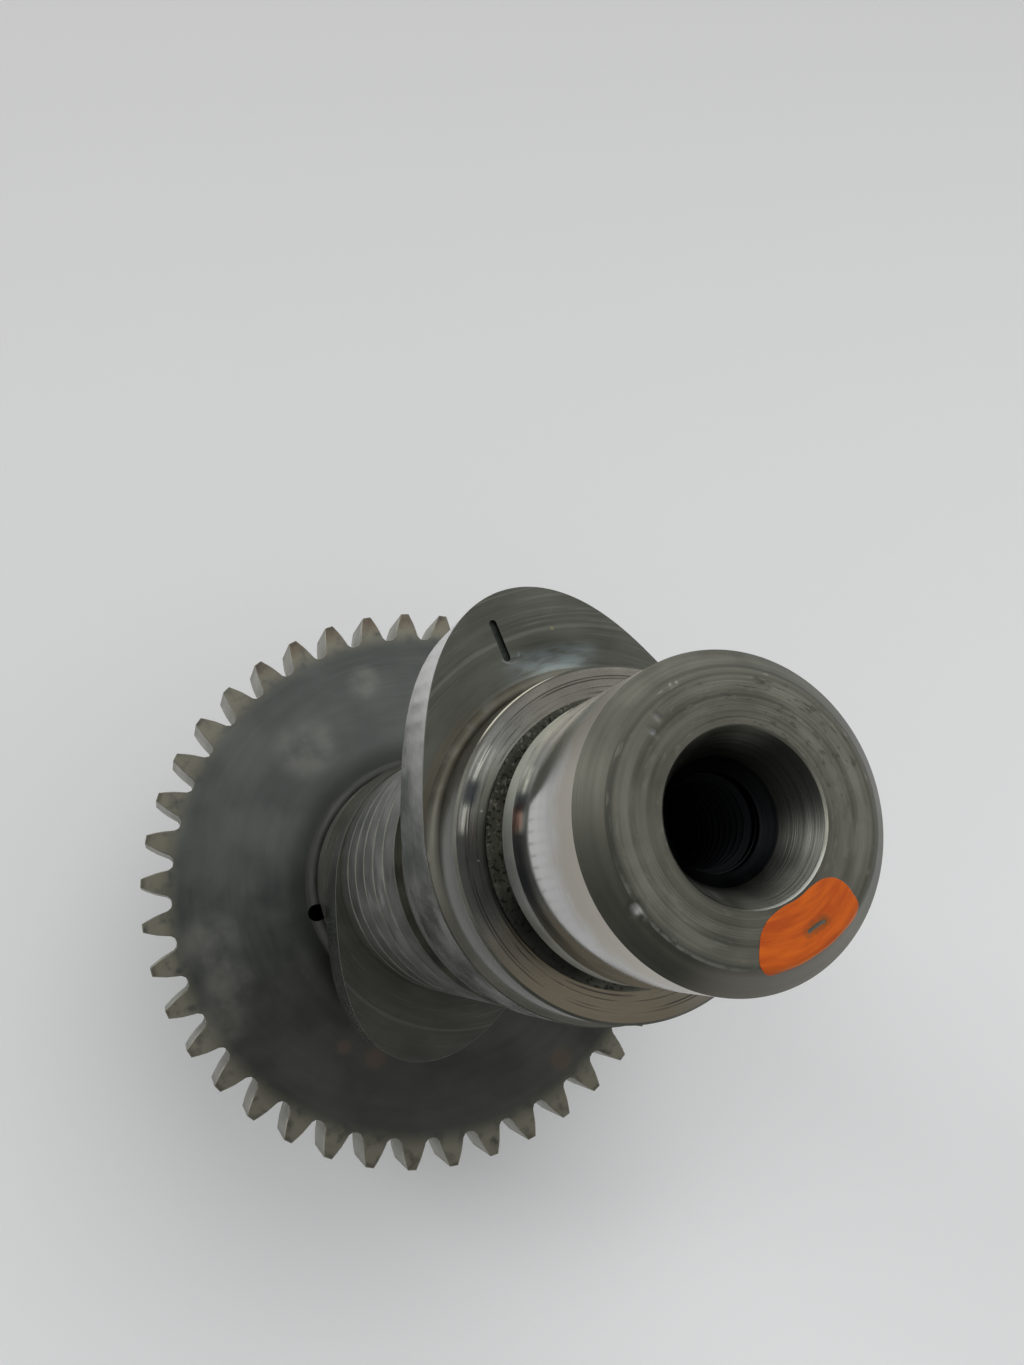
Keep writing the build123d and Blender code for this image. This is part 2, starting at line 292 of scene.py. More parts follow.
def inset(outline, depth):
    """The outline moved inwards by a small depth."""
    along = np.roll(outline, -1, axis=0) - np.roll(outline, 1, axis=0)
    along /= np.linalg.norm(along, axis=1)[:, None]
    return outline + depth * np.column_stack((-along[:, 1], along[:, 0]))


# ==== the steel skin ===================================================================
class Skin:
    """Rings of points about the shaft axis, each joined to the one before by a band of
    faces in one finish.  It starts and ends in a point on the axis."""

    def __init__(self):
        self.vertices = []
        self.faces = []
        self.finishes = []
        self.last_ring = None
        self.last_outline = None

    def tip(self, height, finish):
        """Adds the first or the last point, on the axis."""
        self.vertices.append((0.0, 0.0, height))
        tip = len(self.vertices) - 1
        if self.last_ring is not None:
            for index in range(AROUND):
                after = (index + 1) % AROUND
                self.faces.append((self.last_ring + index, self.last_ring + after, tip))
                self.finishes.append(finish)

    def ring(self, outline, height, finish):
        """Adds a ring, and the band that leads to it."""
        first = len(self.vertices)
        self.vertices += [(x, y, height) for x, y in outline]
        for index in range(AROUND):
            after = (index + 1) % AROUND
            if self.last_ring is None:
                self.faces.append((first - 1, first + after, first + index))
            else:
                start, end = self.last_ring + index, self.last_ring + after
                self.faces.append((start, end, first + after, first + index))
            self.finishes.append(finish)
        self.last_ring = first
        self.last_outline = outline

    def turn(self, finish, *profile):
        """Adds round rings through (radius, height) points."""
        for radius, height in profile:
            self.ring(around(radius), height, finish)


def nose_bore(skin):
    """Tapped centre hole, from its drill point up to the mouth's cone."""
    point = CORE_RADIUS / tan(radians(DRILL_HALF_ANGLE))
    skin.tip(Z_NOSE - NOSE_HOLE_DEPTH - point, "bore")
    skin.turn(
        "bore",
        (CORE_RADIUS, Z_NOSE - NOSE_HOLE_DEPTH),
        (CORE_RADIUS, Z_NOSE - THREAD_END - THREAD_HEIGHT),
        (THREAD_RADIUS, Z_NOSE - THREAD_END),
        (THREAD_RADIUS, Z_NOSE - THREAD_START),
        (STEP_RADIUS, Z_NOSE - CONE_DEPTH),
    )
    skin.turn("cone", (MOUTH_RADIUS, Z_NOSE_FACE - MOUTH_BREAK))
    skin.turn("mouth_edge", (MOUTH_RADIUS + MOUTH_BREAK, Z_NOSE_FACE))


def nose_drop(radius):
    """How far the nose lies below its end face at a radius, out to the chamfer's foot."""
    start = FACE_EDGE - CORNER_LENGTH
    if radius < start:
        return 0.0
    corner_radius = CORNER_LENGTH / tan(radians(CHAMFER_ANGLE / 2))
    if radius < start + corner_radius * sin(radians(CHAMFER_ANGLE)):
        return corner_radius - (corner_radius**2 - (radius - start) ** 2) ** 0.5
    return radius - FACE_EDGE


def nose_end(skin):
    """End face, chamfer, ground journal, relief band and undercut."""
    corner = FACE_EDGE - CORNER_LENGTH
    for radius in np.linspace(MOUTH_RADIUS + MOUTH_BREAK, corner, NOSE_FACE_RINGS)[1:]:
        skin.turn("nose_face", (radius, Z_NOSE_FACE))
    for radius in np.linspace(corner, JOURNAL_RADIUS, CHAMFER_RINGS)[1:]:
        zone = "nose_face" if radius < FACE_EDGE else "chamfer"
        skin.turn(zone, (radius, Z_NOSE_FACE - nose_drop(radius)))
    skin.turn("journal", (JOURNAL_RADIUS, Z_NOSE_JOURNAL))
    skin.turn("relief", (RELIEF_RADIUS, Z_NOSE_JOURNAL), (RELIEF_RADIUS, Z_RELIEF))
    skin.turn(
        "undercut",
        (UNDERCUT_RADIUS, Z_RELIEF),
        (UNDERCUT_RADIUS, Z_UNDERCUT - FACE_CUT_DEPTH),
        (FACE_CUT_RADIUS, Z_UNDERCUT),
    )


def fillet(skin, finish, radius, foot, size, most):
    """Fillet from a round side down to the face that it stands on, out to most."""
    for turn in np.linspace(0, pi / 2, FILLET_STEPS + 1)[1:]:
        radii = np.minimum(radius + size * (1 - cos(turn)), most)
        skin.ring(around(radii), foot + size * (1 - sin(turn)), finish)


def thrust_collar(skin):
    """Collar with its face, and the fillet at its foot, kept within lobe 1."""
    skin.turn(
        "collar_face",
        (FACE_CUT_RADIUS + EDGE_BREAK, Z_UNDERCUT),
        (COLLAR_RADIUS - COLLAR_CHAMFER, Z_UNDERCUT),
    )
    skin.turn("collar_edge", (COLLAR_RADIUS, Z_UNDERCUT - COLLAR_CHAMFER))
    skin.turn("collar_side", (COLLAR_RADIUS, Z_COLLAR + COLLAR_ROOT_FILLET))
    most = lobe_radii(LOBE_1_ANGLE) - 2 * CAM_EDGE_BREAK
    fillet(skin, "root_fillet", COLLAR_RADIUS, Z_COLLAR, COLLAR_ROOT_FILLET, most)


def lobe(skin, peak_angle, top, foot_radii, face_rings=1):
    """A cam lobe from its upper face down to the ring that it stands on."""
    outline = around(lobe_radii(peak_angle))
    edge = inset(outline, CAM_EDGE_BREAK)
    bottom = top - LOBE_WIDTH
    head = skin.last_outline
    for share in np.linspace(0, 1, face_rings + 1)[1:]:
        skin.ring(head + share * (edge - head), top, "lobe_face")
    skin.ring(outline, top - CAM_EDGE_BREAK, "cam_edge")
    skin.ring(outline, bottom + CAM_EDGE_BREAK, "cam")
    skin.ring(edge, bottom, "cam_edge")
    skin.ring(around(foot_radii), bottom, "lobe_face")


def ringed_body(skin):
    """Land, groove and the long body with its shallow rings."""
    skin.turn("body", (BODY_RADIUS, Z_LAND + EDGE_BREAK))
    skin.turn("cam_edge", (BODY_RADIUS - EDGE_BREAK, Z_LAND))
    floor = (GROOVE_RADIUS, Z_LAND), (GROOVE_RADIUS, Z_GROOVE)
    skin.turn("groove", *floor, (BODY_RADIUS - EDGE_BREAK, Z_GROOVE))
    skin.turn("cam_edge", (BODY_RADIUS, Z_GROOVE - EDGE_BREAK))
    for band in range(BODY_BANDS - 1, 0, -1):
        middle = Z_BODY + band * BODY_LENGTH / BODY_BANDS
        upper = middle + BAND_GROOVE_WIDTH / 2
        lower = middle - BAND_GROOVE_WIDTH / 2
        floor_radius = BODY_RADIUS - BAND_GROOVE_DEPTH
        skin.turn("body", (BODY_RADIUS, upper))
        floor = (floor_radius, upper - BAND_GROOVE_DEPTH), (floor_radius, lower + BAND_GROOVE_DEPTH)
        skin.turn("groove", *floor, (BODY_RADIUS, lower))
    skin.turn("body", (BODY_RADIUS, Z_BODY))


def hub_and_gear(skin):
    """Hub with its flare, and the timing gear."""
    skin.turn("hub", (HUB_RADIUS, Z_GEAR_FRONT + HUB_FLARE))
    fillet(skin, "hub_foot", HUB_RADIUS, Z_GEAR_FRONT, HUB_FLARE, TIP_RADIUS)
    outline = gear_outline()
    skin.turn("web", (RIM_RADIUS, Z_GEAR_FRONT))
    skin.ring(inset(outline, EDGE_BREAK), Z_GEAR_FRONT, "web")
    skin.ring(outline, Z_GEAR_FRONT - EDGE_BREAK, "teeth")
    skin.ring(outline, Z_GEAR_BACK + EDGE_BREAK, "teeth")
    skin.ring(inset(outline, EDGE_BREAK), Z_GEAR_BACK, "teeth")
    skin.turn("web", *((radius, Z_GEAR_BACK) for radius in (RIM_RADIUS, HUB_RADIUS, COLLAR_RADIUS)))


def rear_end(skin):
    """Shoulder, undercut, journal and centre hole at the gear end."""
    skin.turn("collar_side", (COLLAR_RADIUS, Z_SHOULDER + COLLAR_CHAMFER))
    skin.turn("collar_edge", (COLLAR_RADIUS - COLLAR_CHAMFER, Z_SHOULDER))
    skin.turn("collar_face", (FACE_CUT_RADIUS, Z_SHOULDER))
    skin.turn(
        "undercut",
        (UNDERCUT_RADIUS, Z_SHOULDER),
        (UNDERCUT_RADIUS, Z_SHOULDER - UNDERCUT_WIDTH),
        (JOURNAL_RADIUS - EDGE_BREAK, Z_SHOULDER - UNDERCUT_WIDTH),
    )
    skin.turn("collar_edge", (JOURNAL_RADIUS, Z_SHOULDER - UNDERCUT_WIDTH - EDGE_BREAK))
    skin.turn("journal", (JOURNAL_RADIUS, JOURNAL_CHAMFER))
    skin.turn("chamfer", (JOURNAL_RADIUS - JOURNAL_CHAMFER, 0.0))
    skin.turn("nose_face", (REAR_MOUTH_RADIUS, 0.0))
    cone = (REAR_MOUTH_RADIUS - REAR_PILOT_RADIUS) / tan(radians(CENTRE_HALF_ANGLE))
    skin.turn("cone", (REAR_PILOT_RADIUS, cone))
    skin.turn("bore", (REAR_PILOT_RADIUS, REAR_PILOT_DEPTH))
    point = REAR_PILOT_RADIUS / tan(radians(DRILL_HALF_ANGLE))
    skin.tip(REAR_PILOT_DEPTH + point, "bore")


def knock(vertices, radius, angle, size, depth):
    """Presses a knock into the points of the nose face that lie near it."""
    centre = np.array((*on_shaft(radius, angle), Z_NOSE))
    away = np.linalg.norm(vertices - centre, axis=1)
    press = depth * np.clip(1 - (away / size) ** 2, 0, 1) ** 2
    inwards = np.array((*on_shaft(-KNOCK_LEAN, angle), -1.0))
    return vertices + press[:, None] * inwards


def grind_dish(vertices):
    """Presses the shallow hand-ground dish into lobe 1's front face."""
    x, y = on_shaft(1, DISH_ANGLE)
    outwards = vertices[:, 0] * x + vertices[:, 1] * y - DISH_RADIUS
    sideways = vertices[:, 1] * x - vertices[:, 0] * y
    away = np.hypot(outwards / DISH_HALF_WIDTH, sideways / DISH_HALF_LENGTH)
    press = DISH_DEPTH * np.clip(1 - away**2, 0, 1) ** 1.5
    press[abs(vertices[:, 2] - Z_COLLAR) > SAME_POINT] = 0
    vertices[:, 2] -= press
    return vertices


def slot_outline(length, width, steps=SLOT_STEPS):
    """Outline of a slot with round ends along X, anticlockwise."""
    outline = []
    for middle, start in ((length / 2, -90), (-length / 2, 90)):
        for step in range(steps + 1):
            turn = radians(start + 180 * step / steps)
            outline.append((middle + width / 2 * cos(turn), width / 2 * sin(turn)))
    return outline


def prism(name, outline, low, high, place=Matrix()):
    """Closed prism over an outline, between two heights."""
    mesh = bmesh.new()
    lower = [mesh.verts.new(place @ Vector((x, y, low)) * MM) for x, y in outline]
    face = mesh.faces.new(lower)
    rise = bmesh.ops.extrude_face_region(mesh, geom=[face])["geom"]
    raised = [item for item in rise if isinstance(item, bmesh.types.BMVert)]
    bmesh.ops.translate(mesh, verts=raised, vec=(0, 0, (high - low) * MM))
    bmesh.ops.remove_doubles(mesh, verts=mesh.verts, dist=SAME_POINT * MM)
    bmesh.ops.recalc_face_normals(mesh, faces=mesh.faces)
    return mesh_object(name, mesh)


def in_scene(name, data):
    """New object in the scene for a mesh, a curve, a lamp or a camera."""
    added = bpy.data.objects.new(name, data)
    bpy.context.scene.collection.objects.link(added)
    return added


def mesh_object(name, mesh):
    """Turns a bmesh into an object in the scene."""
    data = bpy.data.meshes.new(name)
    mesh.to_mesh(data)
    mesh.free()
    return in_scene(name, data)


def worked_out(piece):
    """New mesh of an object as its modifiers or its curve make it."""
    seen = piece.evaluated_get(bpy.context.evaluated_depsgraph_get())
    return bpy.data.meshes.new_from_object(seen)


def smooth(piece):
    """Shades a piece smooth, and keeps its sharp edges crisp."""
    piece.data.shade_smooth()
    piece.data.set_sharp_from_angle(angle=radians(CREASE_ANGLE))


def cut(piece, tool, finish):
    """Cuts a tool's shape out of a piece, with a finish of its own in the cut."""
    tool.data.materials.append(finish)
    modifier = piece.modifiers.new("cut", "BOOLEAN")
    modifier.object = tool
    modifier.operation = "DIFFERENCE"
    modifier.solver = "EXACT"
    modifier.material_mode = "TRANSFER"
    data = worked_out(piece)
    piece.modifiers.clear()
    old = piece.data
    piece.data = data
    bpy.data.meshes.remove(old)
    bpy.data.meshes.remove(tool.data)


def cut_slot(piece, name, middle, angle, length, width, depth, finish):
    """Cuts a round-ended slot into lobe 1's front face."""
    place = Matrix.Translation((*middle, 0)) @ Matrix.Rotation(angle, 4, "Z")
    outline = slot_outline(length, width)
    tool = prism(name, outline, Z_COLLAR - depth, Z_COLLAR + CUTTER_RISE, place)
    cut(piece, tool, finish)


def cut_timing_mark(piece, finish):
    """Timing groove in lobe 1's front face."""
    middle = on_shaft(MARK_RADIUS, MARK_ANGLE)
    angle = radians(MARK_ANGLE + MARK_SLANT)
    cut_slot(piece, "mark_tool", middle, angle, MARK_LENGTH, MARK_WIDTH, MARK_DEPTH, finish)


def cut_scratch(piece, finish):
    """Scratch that runs from the timing groove into the ground dish."""
    start = Vector(on_shaft(*SCRATCH_START))
    end = Vector(on_shaft(*SCRATCH_END))
    run = end - start
    cut_slot(piece, "scratch_tool", (start + end) / 2, atan2(run.y, run.x), run.length,
             SCRATCH_WIDTH, SCRATCH_DEPTH, finish)


def cut_pin_hole(piece, finish):
    """Small blind hole in the gear's web, close beside the hub."""
    place = Matrix.Translation((*on_shaft(PIN_HOLE_AXIS_RADIUS, PIN_HOLE_ANGLE), 0))
    outline = slot_outline(0, PIN_HOLE_DIAMETER, PIN_HOLE_STEPS)
    top = Z_GEAR_FRONT + HUB_FLARE + PIN_HOLE_NOTCH
    cut(piece, prism("hole_tool", outline, Z_GEAR_FRONT - PIN_HOLE_DEPTH, top, place), finish)


def make_skin(finishes):
    """The whole shaft in one closed mesh, with its finishes by zone."""
    skin = Skin()
    nose_bore(skin)
    nose_end(skin)
    thrust_collar(skin)
    lobe(skin, LOBE_1_ANGLE, Z_COLLAR, BODY_RADIUS, LOBE_1_FACE_RINGS)
    ringed_body(skin)
    lobe(skin, LOBE_2_ANGLE, Z_BODY, HUB_RADIUS)
    hub_and_gear(skin)
    rear_end(skin)

    vertices = np.array(skin.vertices)
    for nick in NICKS:
        vertices = knock(vertices, *nick[:4])
    vertices = grind_dish(vertices)
    zones = list(finishes)
    mesh = bmesh.new()
    points = [mesh.verts.new(Vector(vertex) * MM) for vertex in vertices]
    for corners, finish in zip(skin.faces, skin.finishes):
        face = mesh.faces.new([points[corner] for corner in corners])
        face.material_index = zones.index(finish)
    bmesh.ops.recalc_face_normals(mesh, faces=mesh.faces)
    piece = mesh_object("camshaft_skin", mesh)
    for finish in finishes.values():
        piece.data.materials.append(finish)

    cut_timing_mark(piece, finishes["mark"])
    cut_scratch(piece, finishes["scratch"])
    cut_pin_hole(piece, finishes["bore"])
    smooth(piece)
    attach(piece, BODY)
    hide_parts(NODE)


def make_thread(finish):
    """Thread in the nose hole: a ridge that winds down the bore, closed at both ends."""
    turns = (THREAD_END - THREAD_START - THREAD_RUNOUT) / THREAD_PITCH
    foot = THREAD_PITCH / 2 - THREAD_CREST_HALF
    section = (
        (THREAD_RADIUS + THREAD_SUNK, foot),
        (THREAD_RADIUS - THREAD_HEIGHT, THREAD_CREST_HALF),
        (THREAD_RADIUS - THREAD_HEIGHT, -THREAD_CREST_HALF),
        (THREAD_RADIUS + THREAD_SUNK, -foot),
    )
    mesh = bmesh.new()
    last = None
    for step in range(int(turns * THREAD_STEPS) + 1):
        angle = 360 * step / THREAD_STEPS
        middle = Z_NOSE - THREAD_START - THREAD_LEAD - THREAD_PITCH * angle / 360
        sunk = THREAD_HEIGHT * max(0.0, 1 - step / THREAD_STEPS)
        ring = []
        for radius, rise in section:
            x, y = on_shaft(radius + sunk, -angle)
            ring.append(mesh.verts.new(Vector((x, y, middle + rise)) * MM))
        if last is None:
            mesh.faces.new(ring)
        else:
            for index in range(len(section)):
                after = (index + 1) % len(section)
                mesh.faces.new((last[index], last[after], ring[after], ring[index]))
        last = ring
    mesh.faces.new(reversed(last))
    bmesh.ops.recalc_face_normals(mesh, faces=mesh.faces)
    piece = mesh_object("nose_thread", mesh)
    piece.data.materials.append(finish)
    smooth(piece)
    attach(piece, BODY)


def make_paint(finish):
    """Brushed dab of paint on the nose face: a thin film with a bare streak in it."""
    outline = bpy.data.curves.new("paint_outline", "CURVE")
    outline.dimensions = "2D"
    outline.fill_mode = "BOTH"
    outline.resolution_u = PAINT_CURVE_STEPS
    for corners in (PAINT_OUTLINE, PAINT_BARE_STREAK):
        spline = outline.splines.new("BEZIER")
        spline.bezier_points.add(len(corners) - 1)
        spline.use_cyclic_u = True
        for point, (radius, angle) in zip(spline.bezier_points, corners):
            point.co = Vector((*on_shaft(radius, angle), 0)) * MM
            point.handle_left_type = "AUTO"
            point.handle_right_type = "AUTO"
    bevel = PAINT_THICKNESS / 3
    outline.extrude = (PAINT_THICKNESS / 2 - bevel) * MM
    outline.bevel_depth = bevel * MM
    outline.bevel_resolution = PAINT_EDGE_STEPS
    drawn = in_scene("paint_outline", outline)
    film = bmesh.new()
    film.from_mesh(worked_out(drawn))
    bpy.data.objects.remove(drawn)
    middle = Z_NOSE - PAINT_THICKNESS / 2
    bmesh.ops.translate(film, verts=film.verts, vec=(0, 0, middle * MM))
    bmesh.ops.remove_doubles(film, verts=film.verts, dist=SAME_POINT * MM)
    for across in (Vector((1, 0, 0)), Vector((0, 1, 0))):
        for place in np.arange(-JOURNAL_RADIUS, JOURNAL_RADIUS, PAINT_GRID):
            parts = film.verts[:] + film.edges[:] + film.faces[:]
            bmesh.ops.bisect_plane(
                film, geom=parts, plane_co=across * place * MM, plane_no=across
            )
    for vertex in film.verts:
        vertex.co.z -= nose_drop(vertex.co.xy.length / MM) * MM
    piece = mesh_object("paint_mark", film)
    piece.data.materials.append(finish)
    smooth(piece)
    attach(piece, BODY)


# ==== finishes =========================================================================
# Many finishes are lighter or darker on one side of the shaft. Most of these one-sided tones are
# painted light, shade and reflections, and they stay with the shaft when the camera moves.
class Nodes:
    """Short calls for the kinds of node that the finishes and the studio are made of."""

    def __init__(self, tree):
        self.tree = tree

    def add(self, kind, inputs, **settings):
        """New node, with its settings and what goes into its inputs by name or number."""
        node = self.tree.nodes.new("ShaderNode" + kind)
        for name, value in settings.items():
            setattr(node, name, value)
        for key, value in inputs.items():
            self.fill(node.inputs[key], value)
        return node

    def fill(self, socket, value):
        """Links an output to a socket, or sets a plain value on it."""
        if isinstance(value, bpy.types.NodeSocket):
            self.tree.links.new(value, socket)
        else:
            socket.default_value = value

    def math(self, operation, first, second=0.0):
        """Sum on one or two numbers."""
        return self.add("Math", {0: first, 1: second}, operation=operation).outputs[0]

    def vector(self, operation, first, second, result="Vector"):
        """Sum on two vectors."""
        node = self.add("VectorMath", {0: first, 1: second}, operation=operation)
        return node.outputs[result]

    def times(self, *factors):
        """Product of several values."""
        product = factors[0]
        for factor in factors[1:]:
            product = self.math("MULTIPLY", product, factor)
        return product

    def ramp(self, value, low, high, shape="SMOOTHSTEP"):
        """Rise from 0 at one value to 1 at the other."""
        inputs = {"Value": value, "From Min": low, "From Max": high}
        return self.add("MapRange", inputs, interpolation_type=shape).outputs[0]

    def fall(self, value, low, high, shape="SMOOTHSTEP"):
        """Fall from 1 at one value to 0 at the other."""
        return self.math("SUBTRACT", 1.0, self.ramp(value, low, high, shape))

    def line(self, value, middle, width):
        """1 at one value, fading to 0 on both sides of it."""
        away = self.math("ABSOLUTE", self.math("SUBTRACT", value, middle))
        return self.fall(away, width * 0.3, width)

    def between(self, factor, low, high):
        """Number that goes from low to high as the factor goes from 0 to 1."""
        return self.math("ADD", self.times(factor, high - low), low)

    def mix(self, factor, first, second):
        """Colour that goes from one to the other as the factor goes from 0 to 1."""
        ends = [(*end, 1.0) if isinstance(end, tuple) else end for end in (first, second)]
        inputs = {"Factor": factor, 6: ends[0], 7: ends[1]}
        return self.add("Mix", inputs, data_type="RGBA").outputs[2]


class Finish(Nodes):
    """A procedural material, worked out in millimetres about the shaft axis."""

    def __init__(self, name, metallic=1.0, anisotropic=0.0, slope=1):
        self.material = bpy.data.materials.new(name)
        self.material.use_nodes = True
        super().__init__(self.material.node_tree)
        self.shader = self.tree.nodes["Principled BSDF"]
        self.set("Metallic", metallic)
        self.set("Anisotropic", anisotropic)
        if anisotropic:
            tangent = self.add("Tangent", {}, direction_type="RADIAL", axis="Z")
            self.set("Tangent", tangent.outputs[0])
        coordinate = self.add("TexCoord", {}).outputs["Object"]
        self.place = self.vector("MULTIPLY", coordinate, (1 / MM, 1 / MM, 1 / MM))
        self.x, self.y, self.height = self.add("SeparateXYZ", {0: self.place}).outputs
        squares = [self.math("POWER", side, 2) for side in (self.x, self.y)]
        self.radius = self.math("SQRT", self.math("ADD", *squares))
        self.along = self.math("ADD", self.radius, self.times(self.height, slope))
        self.colour = None

    def set(self, name, value):
        """Sets one of the shader's own sockets."""
        self.fill(self.shader.inputs[name], value)

    def facing(self, angle, spread):
        """1 on the side of the shaft at an angle, fading to 0 at a spread to both sides."""
        reach = self.vector("DOT_PRODUCT", self.place, (*on_shaft(1, angle), 0), "Value")
        cosine = self.math("DIVIDE", reach, self.radius)
        return self.ramp(cosine, cos(radians(spread)), cos(radians(spread / 4)))

    def distance(self, radius, angle, height):
        """Distance in millimetres from a place on the shaft."""
        place = (*on_shaft(radius, angle), height)
        return self.vector("DISTANCE", self.place, place, "Value")

    def spot(self, radius, angle, height, size):
        """1 at a place on the shaft, fading to 0 at a distance from it."""
        return self.fall(self.distance(radius, angle, height), size * 0.4, size)

    def streaks(self, per_millimetre, around_shaft, detail=3.0, shift=0.0):
        """Turned rings that break up on their way around the shaft."""
        turned = [self.math("DIVIDE", side, self.radius) for side in (self.x, self.y)]
        ways = [self.times(side, around_shaft) for side in turned]
        ways.append(self.times(self.along, per_millimetre))
        joined = self.add("CombineXYZ", dict(enumerate(ways))).outputs[0]
        place = self.vector("ADD", joined, (shift,) * 3)
        inputs = {"Vector": place, "Scale": 1.0, "Detail": detail}
        return self.add("TexNoise", inputs).outputs["Fac"]

    def noise(self, scale, detail=3.0, stretch=(1, 1, 1), shift=0.0):
        """Mottling, with its size set by a scale in waves per millimetre."""
        place = self.vector("ADD", self.vector("MULTIPLY", self.place, stretch), (shift,) * 3)
        inputs = {"Vector": place, "Scale": scale, "Detail": detail}
        return self.add("TexNoise", inputs).outputs["Fac"]

    def rings(self, value, per_millimetre, detail=2.0):
        """Noise along one value, which makes turned rings."""
        inputs = {"W": value, "Scale": per_millimetre, "Detail": detail}
        return self.add("TexNoise", inputs, noise_dimensions="1D").outputs["Fac"]

    def specks(self, spacing, size):
        """Small round specks, strewn at about a spacing in millimetres."""
        node = self.add("TexVoronoi", {"Vector": self.place, "Scale": 1 / spacing})
        near = self.fall(node.outputs["Distance"], size / 3, size)
        chosen = self.ramp(node.outputs["Color"], 0.62, 0.7)
        return self.times(near, chosen)

    def bump(self, height, depth):
        """Relief on the surface, with its depth in millimetres."""
        inputs = {"Strength": 1.0, "Distance": depth * MM, "Height": height}
        self.set("Normal", self.add("Bump", inputs).outputs[0])

    def knocks(self):
        """Bare bright metal where the nose is knocked."""
        for radius, angle, size, _, brightness in NICKS:
            self.tint((brightness,) * 3, self.spot(radius, angle, Z_NOSE, size * 0.8), 0.85)

    def tint(self, colour, *shares):
        """Lays a colour over what the finish has so far, by the product of some shares."""
        self.colour = self.mix(self.times(*shares), self.colour, colour)
        self.set("Base Color", self.colour)

    def side(self, colour, angle, spread, *shares):
        """Lays a colour over one side of the shaft, fading to a spread from its middle."""
        self.tint(colour, self.facing(angle, spread), *shares)


def turned(name, dark, light, roughness, lines=3.0, runs=3.0, line_share=0.5,
           line_depth=0.01, mottle=0.3, anisotropic=0.5, slope=1):
    """Turned or ground steel: rings that break up around the shaft, and soft stains."""
    steel = Finish(name, anisotropic=anisotropic, slope=slope)
    rings = steel.streaks(lines, runs, 4.0)
    fine = steel.rings(steel.along, lines * 3, 2.0)
    stain = steel.ramp(steel.noise(mottle, 4.0), 0.3, 0.7)
    ring_part = steel.times(steel.ramp(rings, 0.3, 0.7), line_share)
    level = steel.math("ADD", ring_part, steel.times(stain, 1 - line_share))
    steel.colour = steel.mix(level, dark, light)
    steel.set("Base Color", steel.colour)
    steel.set("Roughness", steel.between(stain, *roughness))
    steel.bump(steel.math("ADD", rings, steel.times(fine, 0.5)), line_depth)
    return steel


def nose_face_finish():
    """End face: dull olive steel with broken tool rings and a few bright knocks."""
    steel = turned("turned_end_face", (0.122, 0.12, 0.095), (0.215, 0.212, 0.174),
                   (0.42, 0.5), lines=1.6, runs=0.7, line_depth=0.03, anisotropic=0.35)
    for radius, width, shade in ((9.75, 0.45, 0.27), (9.15, 0.4, 0.09), (8.3, 0.35, 0.24),
                                 (7.4, 0.5, 0.22), (10.7, 0.3, 0.2)):
        broken = steel.ramp(steel.streaks(0.3, 1.5, 2.0, shift=radius), 0.35, 0.6)
        ring = steel.line(steel.radius, radius, width)
        steel.tint((shade, shade, shade * 0.84), ring, broken, 0.6)
    steel.tint((0.25, 0.25, 0.21), steel.ramp(steel.radius, 8.6, 10.4), 0.3)
    steel.tint((0.1, 0.1, 0.085), steel.fall(steel.radius, 7.2, 8.8), 0.3)
    # painted shade: a darker line along the rounded corner, which dulls its highlight
    steel.tint((0.09, 0.09, 0.075), steel.line(steel.radius, FACE_EDGE, 0.7), 0.8)
    worn = steel.ramp(steel.noise(1.1, 3.0, shift=1.0), 0.35, 0.6)
    rim = steel.line(steel.radius, FACE_EDGE - 0.05, 0.28)
    steel.side((0.36, 0.36, 0.32), 215, 45, rim, worn, 0.6)
    dashes = steel.ramp(steel.streaks(3.2, 9.0, 2.0, shift=7.0), 0.6, 0.66)
    steel.side((0.07, 0.07, 0.058), DASHED_SIDE, 75, dashes, 0.55)
    pale_dashes = steel.ramp(steel.streaks(2.4, 6.0, 2.0, shift=3.0), 0.6, 0.7)
    steel.tint((0.26, 0.26, 0.22), pale_dashes, 0.4)
    steel.knocks()
    return steel


def chamfer_finish():
    """Chamfer round the nose, as the end face but with painted shade on three sides and painted
    light on one.
    """
    steel = turned("turned_chamfer", (0.095, 0.095, 0.077), (0.185, 0.185, 0.153), (0.42, 0.5),
                   lines=1.3, runs=0.9, line_depth=0.02, anisotropic=0.35, slope=-1)
    # painted shade along the corner, then painted shade on three sides of the chamfer and painted
    # light on one
    steel.tint((0.07, 0.07, 0.058), steel.line(steel.radius, FACE_EDGE, 0.6), 0.8)
    away = steel.ramp(steel.radius, FACE_EDGE - 0.1, FACE_EDGE + 0.9)
    steel.side((0.055, 0.055, 0.046), 152, 50, away, 0.6)
    steel.side((0.055, 0.055, 0.046), 205, 65, away, 0.8)
    steel.side((0.25, 0.24, 0.205), 268, 50, 0.8)
    steel.side((0.075, 0.075, 0.063), 350, 55, away, 0.5)
    steel.knocks()
    return steel


